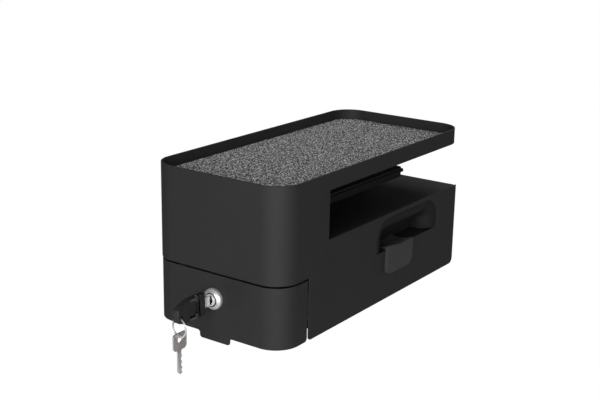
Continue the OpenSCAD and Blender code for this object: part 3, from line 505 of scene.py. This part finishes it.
# Painted shade: the keyway and the groove round the plug are painted near-black
secondFinish(soft["lock_plug"].data, paintedShadeBlack,
             lambda c: (fromLockAxis(c) < camLock["keywayRadius"])
             & between(c[:, 1], camLock["keywayFrom"], camLock["keywayTo"]))
secondFinish(lockCollar.data, paintedShadeBlack,
             lambda c: (fromLockAxis(c) < camLock["grooveRadius"])
             & (c[:, 1] > camLock["grooveFrom"]))

# The blade is milled thinner where it enters the lock, and painted darker from there on: painted
# shade inside the keyway
keyBlade = {"milled": [((-0.2, -88.6, -118), (3, -60, -103))], "paintedShadeFrom": -87.6}
carve(soft["key_blade"], keyBlade["milled"])
cutAcross(soft["key_blade"].data, (0, keyBlade["paintedShadeFrom"], camLock["height"]), (0, 1, 0))
secondFinish(soft["key_blade"].data, nickelPlate, lambda c: c[:, 1] > keyBlade["paintedShadeFrom"])
print("lock made")

# The grip: flats on its knuckle, a groove along each side painted near-black as painted shade,
# and two ribs a side whose outer faces are painted lighter as a painted highlight. After the
# boxes come how far out from the mid plane the painted highlight begins, and the spans of x, y
# and z of the painted shade.
keyGrip = {"flats": [((1.7, -112.8, -117), (5, -105.2, -104))],
           "grooves": [((2.7, -122, -118.6), (5, -112.5, -116.5))],
           "ribs": [((2.4, -120.8, -101.2), (3.9, -113, -99.3)),
                    ((2.4, -120.8, -121), (3.9, -113, -119.1))],
           "highlightFrom": 3.55, "dark": ((2.65, 3.45), (-122.1, -112.4), (-118.65, -116.45))}
carve(soft["key_grip"], bothSides(keyGrip["flats"]) + bothSides(keyGrip["grooves"]))
carve(soft["key_grip"], bothSides(keyGrip["ribs"]), "UNION")
# Painted highlight on the ribs' outer faces, then painted shade in the grooves
secondFinish(soft["key_grip"].data, ribHighlightPlastic,
             lambda c: np.abs(c[:, 0]) > keyGrip["highlightFrom"])
secondFinish(soft["key_grip"].data, paintedShadeBlack,
             lambda c: between(np.abs(c[:, 0]), *keyGrip["dark"][0])
             & between(c[:, 1], *keyGrip["dark"][1]) & between(c[:, 2], *keyGrip["dark"][2]))

# The spare key's blade is painted brighter than its bow: a painted highlight on the same metal
spareKey = {"highlightBelow": -151.2}
cutAcross(soft["spare_key"].data, (0, 0, spareKey["highlightBelow"]), (0, 0, 1))
secondFinish(soft["spare_key"].data, bladeHighlightMetal, lambda c: c[:, 2] < spareKey["highlightBelow"])
print("keys made")

# Split ring: a flattened wire goes twice round a circle, x = radius * sin t and
# z = radius * cos t, tilted about Z. Halfway it steps aside by its own width, which is
# step * (half - 1 / (1 + e ^ (-steepness * (t - full turn)))). Wire section: a superellipse, the
# cos and sin of the angle round the wire raised to a power, which gives a rounded rectangle.
splitRing = {"centre": (0, -133.6, -125.135), "radius": 9.7, "tilt": -9, "step": 0.78,
             "steepness": 3, "halfWidth": 0.37, "halfHeight": 0.72, "power": 0.6, "along": 260,
             "around": 14, "crease": 60}


def twoTurns(look):
    t = np.linspace(0, 4 * np.pi, look["along"])[:, None]
    a = np.linspace(0, 2 * np.pi, look["around"], endpoint=False)[None, :]
    aside = look["step"] * (0.5 - 1 / (1 + np.exp(-(t - 2 * np.pi) * look["steepness"])))
    cos, sin = np.cos(a), np.sin(a)
    wide = look["halfWidth"] * np.sign(cos) * np.abs(cos) ** look["power"]
    tall = look["halfHeight"] * np.sign(sin) * np.abs(sin) ** look["power"]
    radius = look["radius"] + tall
    tilt = math.radians(look["tilt"])
    x = radius * np.sin(t) * math.cos(tilt) - (aside + wide) * math.sin(tilt)
    y = radius * np.sin(t) * math.sin(tilt) + (aside + wide) * math.cos(tilt)
    z = radius * np.cos(t)
    points = (np.stack([x, y, z], -1) + np.array(look["centre"])) * mm
    faces = gridFaces(look["along"], look["around"], closeColumns=True).tolist()
    count = look["along"] * look["around"]
    faces += [list(range(look["around"])), list(range(count - look["around"], count))]
    return points, faces


surfacePiece("splitRing", "key_ring", chromePlate, twoTurns(splitRing), splitRing["crease"])

# Clamp screw: a threaded rod of 8 mm, with a plain core in the knob below and a neck and a flat
# head in the plate above, in pairs (radius, height)
clampScrew = {"places": {"front": 60, "rear": 190}, "around": 36, "crease": 35,
              "before": [(3.5, -76.5), (3.5, -66.5)],  # the core
              "threadRadius": 4, "rows": (-66.5, -30.3, 200),
              "threadEnds": (-66.5, -30.3), "pitch": 1.25, "depth": 0.7,
              "after": [(3, -30.29), (3, -27.35), (4.8, -27.35), (5, -27.15), (5, -26.45),
                        (4.7, -26.15)]}  # the neck and the head

# Knob: the outline swells into lobes, radius = least + swell * (half - half cos(lobes * angle))
# ^ sharpness, and its share rises with the profile's own radius, so that the middle stays round.
# The profile is in pairs (share of the full radius, height above the base).
clampKnob = {"base": -78.5, "least": 13.2, "swell": 3.8, "lobes": 6, "sharpness": 1.4,
             "roundTo": 0.4, "fade": 0.4, "around": 144, "crease": 40,
             "profile": [(0.001, 0.9), (0.28, 0.9), (0.36, 0.5), (0.42, 0.15), (0.7, 0),
                         (0.9, 0.25), (0.97, 0.9), (1, 2.2), (1, 9), (0.985, 10.2),
                         (0.93, 11.3), (0.82, 12), (0.45, 12), (0.4, 11.7), (0.36, 11.7),
                         (0.24, 11.7), (0.215, 11.4), (0.215, 2.2), (0.001, 2.2)]}
knobRadius = clampKnob["least"] + clampKnob["swell"]
knobProfile = np.array(clampKnob["profile"]) * (knobRadius, 1) * mm


def knobBend(radius, place, angle):
    share = radius / (knobRadius * mm)
    wave = (0.5 - 0.5 * np.cos(clampKnob["lobes"] * angle)) ** clampKnob["sharpness"]
    lobed = (clampKnob["least"] + clampKnob["swell"] * wave) / knobRadius
    lobeShare = np.clip((share - clampKnob["roundTo"]) / clampKnob["fade"], 0, 1)
    return radius * (1 - lobeShare * (1 - lobed))


for end, place in clampScrew["places"].items():
    screw = turned(threadedProfile(clampScrew), (0, place * mm, 0), (0, 0, 1),
                   clampScrew["around"], thread(clampScrew))
    surfacePiece("clampScrew" + end.capitalize(), "clamp_screw_" + end, zincSteel, screw,
                 clampScrew["crease"])
    knob = turned(knobProfile, (0, place * mm, clampKnob["base"] * mm), (0, 0, 1),
                  clampKnob["around"], knobBend)
    surfacePiece("clampKnob" + end.capitalize(), "clamp_knob_" + end, knobPlastic, knob,
                 clampKnob["crease"])
print("ring, clamp screws and knobs made")

# Camera, from the perspective of the photograph's straight edges
camera = {"place": (0.67291, -0.88381, 0.29813), "azimuth": 35.32, "elevation": 16.22,
          "roll": 1.03, "lens": 66.42, "sensor": 36, "clip": (0.05, 60)}
cam = bpy.data.cameras.new("camera")
cam.sensor_width = camera["sensor"]
cam.lens = camera["lens"]
cam.clip_start, cam.clip_end = camera["clip"]
camObject = addObject("camera", cam)
azimuth, elevation, roll = (math.radians(camera[k]) for k in ("azimuth", "elevation", "roll"))
back = Vector((math.sin(azimuth) * math.cos(elevation),
               -math.cos(azimuth) * math.cos(elevation), math.sin(elevation)))
right = Vector((0, 0, 1)).cross(back).normalized()
up = back.cross(right)
cameraAxes = (math.cos(roll) * right + math.sin(roll) * up,
              math.cos(roll) * up - math.sin(roll) * right, back)
camObject.matrix_world = (Matrix.Translation(camera["place"])
                          @ Matrix(cameraAxes).transposed().to_4x4())
bpy.context.scene.camera = camObject

# Pale floor, white to the camera, and soft studio light
floor = {"size": 14, "height": -0.74, "color": (0.5, 0.5, 0.5), "roughness": 0.9,
         "glossShare": 0.04, "whiteShare": 0.93}
half = floor["size"] / 2
floorCorners = [(-half, -half), (half, -half), (half, half), (-half, half)]
floorMesh = bpy.data.meshes.new("floor")
floorMesh.from_pydata([(x, y, floor["height"]) for x, y in floorCorners], [], [(0, 1, 2, 3)])
floorPiece = addObject("floor", floorMesh)


# White to the camera and, weaker, in gloss; what is left of the lit surface keeps the object's
# shadow
def seenAsWhite(tree, surface, output, glossShare, whiteShare):
    path = addNode(tree, "ShaderNodeLightPath")
    gloss = addNode(tree, "ShaderNodeMath", operation="MULTIPLY")
    gloss.inputs[1].default_value = glossShare
    first = addNode(tree, "ShaderNodeMath", operation="MAXIMUM")
    direct = addNode(tree, "ShaderNodeMath", operation="MULTIPLY")
    direct.inputs[1].default_value = whiteShare
    seen = addNode(tree, "ShaderNodeMath", operation="MAXIMUM")
    white = addNode(tree, "ShaderNodeEmission" if output.bl_idname == "ShaderNodeOutputMaterial"
                    else "ShaderNodeBackground")
    white.inputs["Color"].default_value = (1, 1, 1, 1)
    white.inputs["Strength"].default_value = 2 - whiteShare  # times its share, nearly 1
    mix = addNode(tree, "ShaderNodeMixShader")
    tree.links.new(path.outputs["Is Glossy Ray"], gloss.inputs[0])
    tree.links.new(path.outputs["Is Camera Ray"], first.inputs[0])
    tree.links.new(path.outputs["Is Transmission Ray"], first.inputs[1])
    tree.links.new(first.outputs[0], direct.inputs[0])
    tree.links.new(direct.outputs[0], seen.inputs[0])
    tree.links.new(gloss.outputs[0], seen.inputs[1])
    tree.links.new(seen.outputs[0], mix.inputs["Fac"])
    tree.links.new(surface, mix.inputs[1])
    tree.links.new(white.outputs[0], mix.inputs[2])
    tree.links.new(mix.outputs[0], output.inputs["Surface"])


floorMaterial, floorTree, floorShader = nodeTree("paleFloor")
floorShader.inputs["Base Color"].default_value = (*floor["color"], 1)
floorShader.inputs["Roughness"].default_value = floor["roughness"]
seenAsWhite(floorTree, floorShader.outputs[0], floorTree.nodes["Material Output"],
            floor["glossShare"], floor["whiteShare"])
floorMesh.materials.append(floorMaterial)

ambient = {"color": (0.96, 0.98, 1.0), "strength": 0.11, "glossShare": 0.02, "whiteShare": 1}
world = bpy.data.worlds.new("studio")
bpy.context.scene.world = world
world.use_nodes = True
worldTree = world.node_tree
background = worldTree.nodes["Background"]
background.inputs["Color"].default_value = (*ambient["color"], 1)
background.inputs["Strength"].default_value = ambient["strength"]
seenAsWhite(worldTree, background.outputs[0], worldTree.nodes["World Output"],
            ambient["glossShare"], ambient["whiteShare"])

lamps = {
    "keySoftbox": {"place": (0.6, -2.0, 0.55), "size": (1.0, 1.0), "power": 26},
    "lowCard": {"place": (-0.95, -1.65, -0.55), "size": (0.7, 0.7), "power": 2.3},
    "cornerStrip": {"place": (1.5, -1.05, 0.0), "size": (1.8, 1.5), "power": 13.5},
    "backSoftbox": {"place": (-0.3, 1.5, 1.7), "size": (1.6, 1.6), "power": 16},
}
lampsAim = Vector((0, 0.08, -0.06))
for name, lamp in lamps.items():
    light = bpy.data.lights.new(name, "AREA")
    light.shape = "RECTANGLE"
    light.size, light.size_y = lamp["size"]
    light.energy = lamp["power"]
    lampObject = addObject(name, light)
    lampObject.location = lamp["place"]
    towards = lampsAim - Vector(lamp["place"])
    lampObject.rotation_euler = towards.to_track_quat("-Z", "Y").to_euler()
bpy.context.scene.view_settings.view_transform = "Standard"
print("stage set")
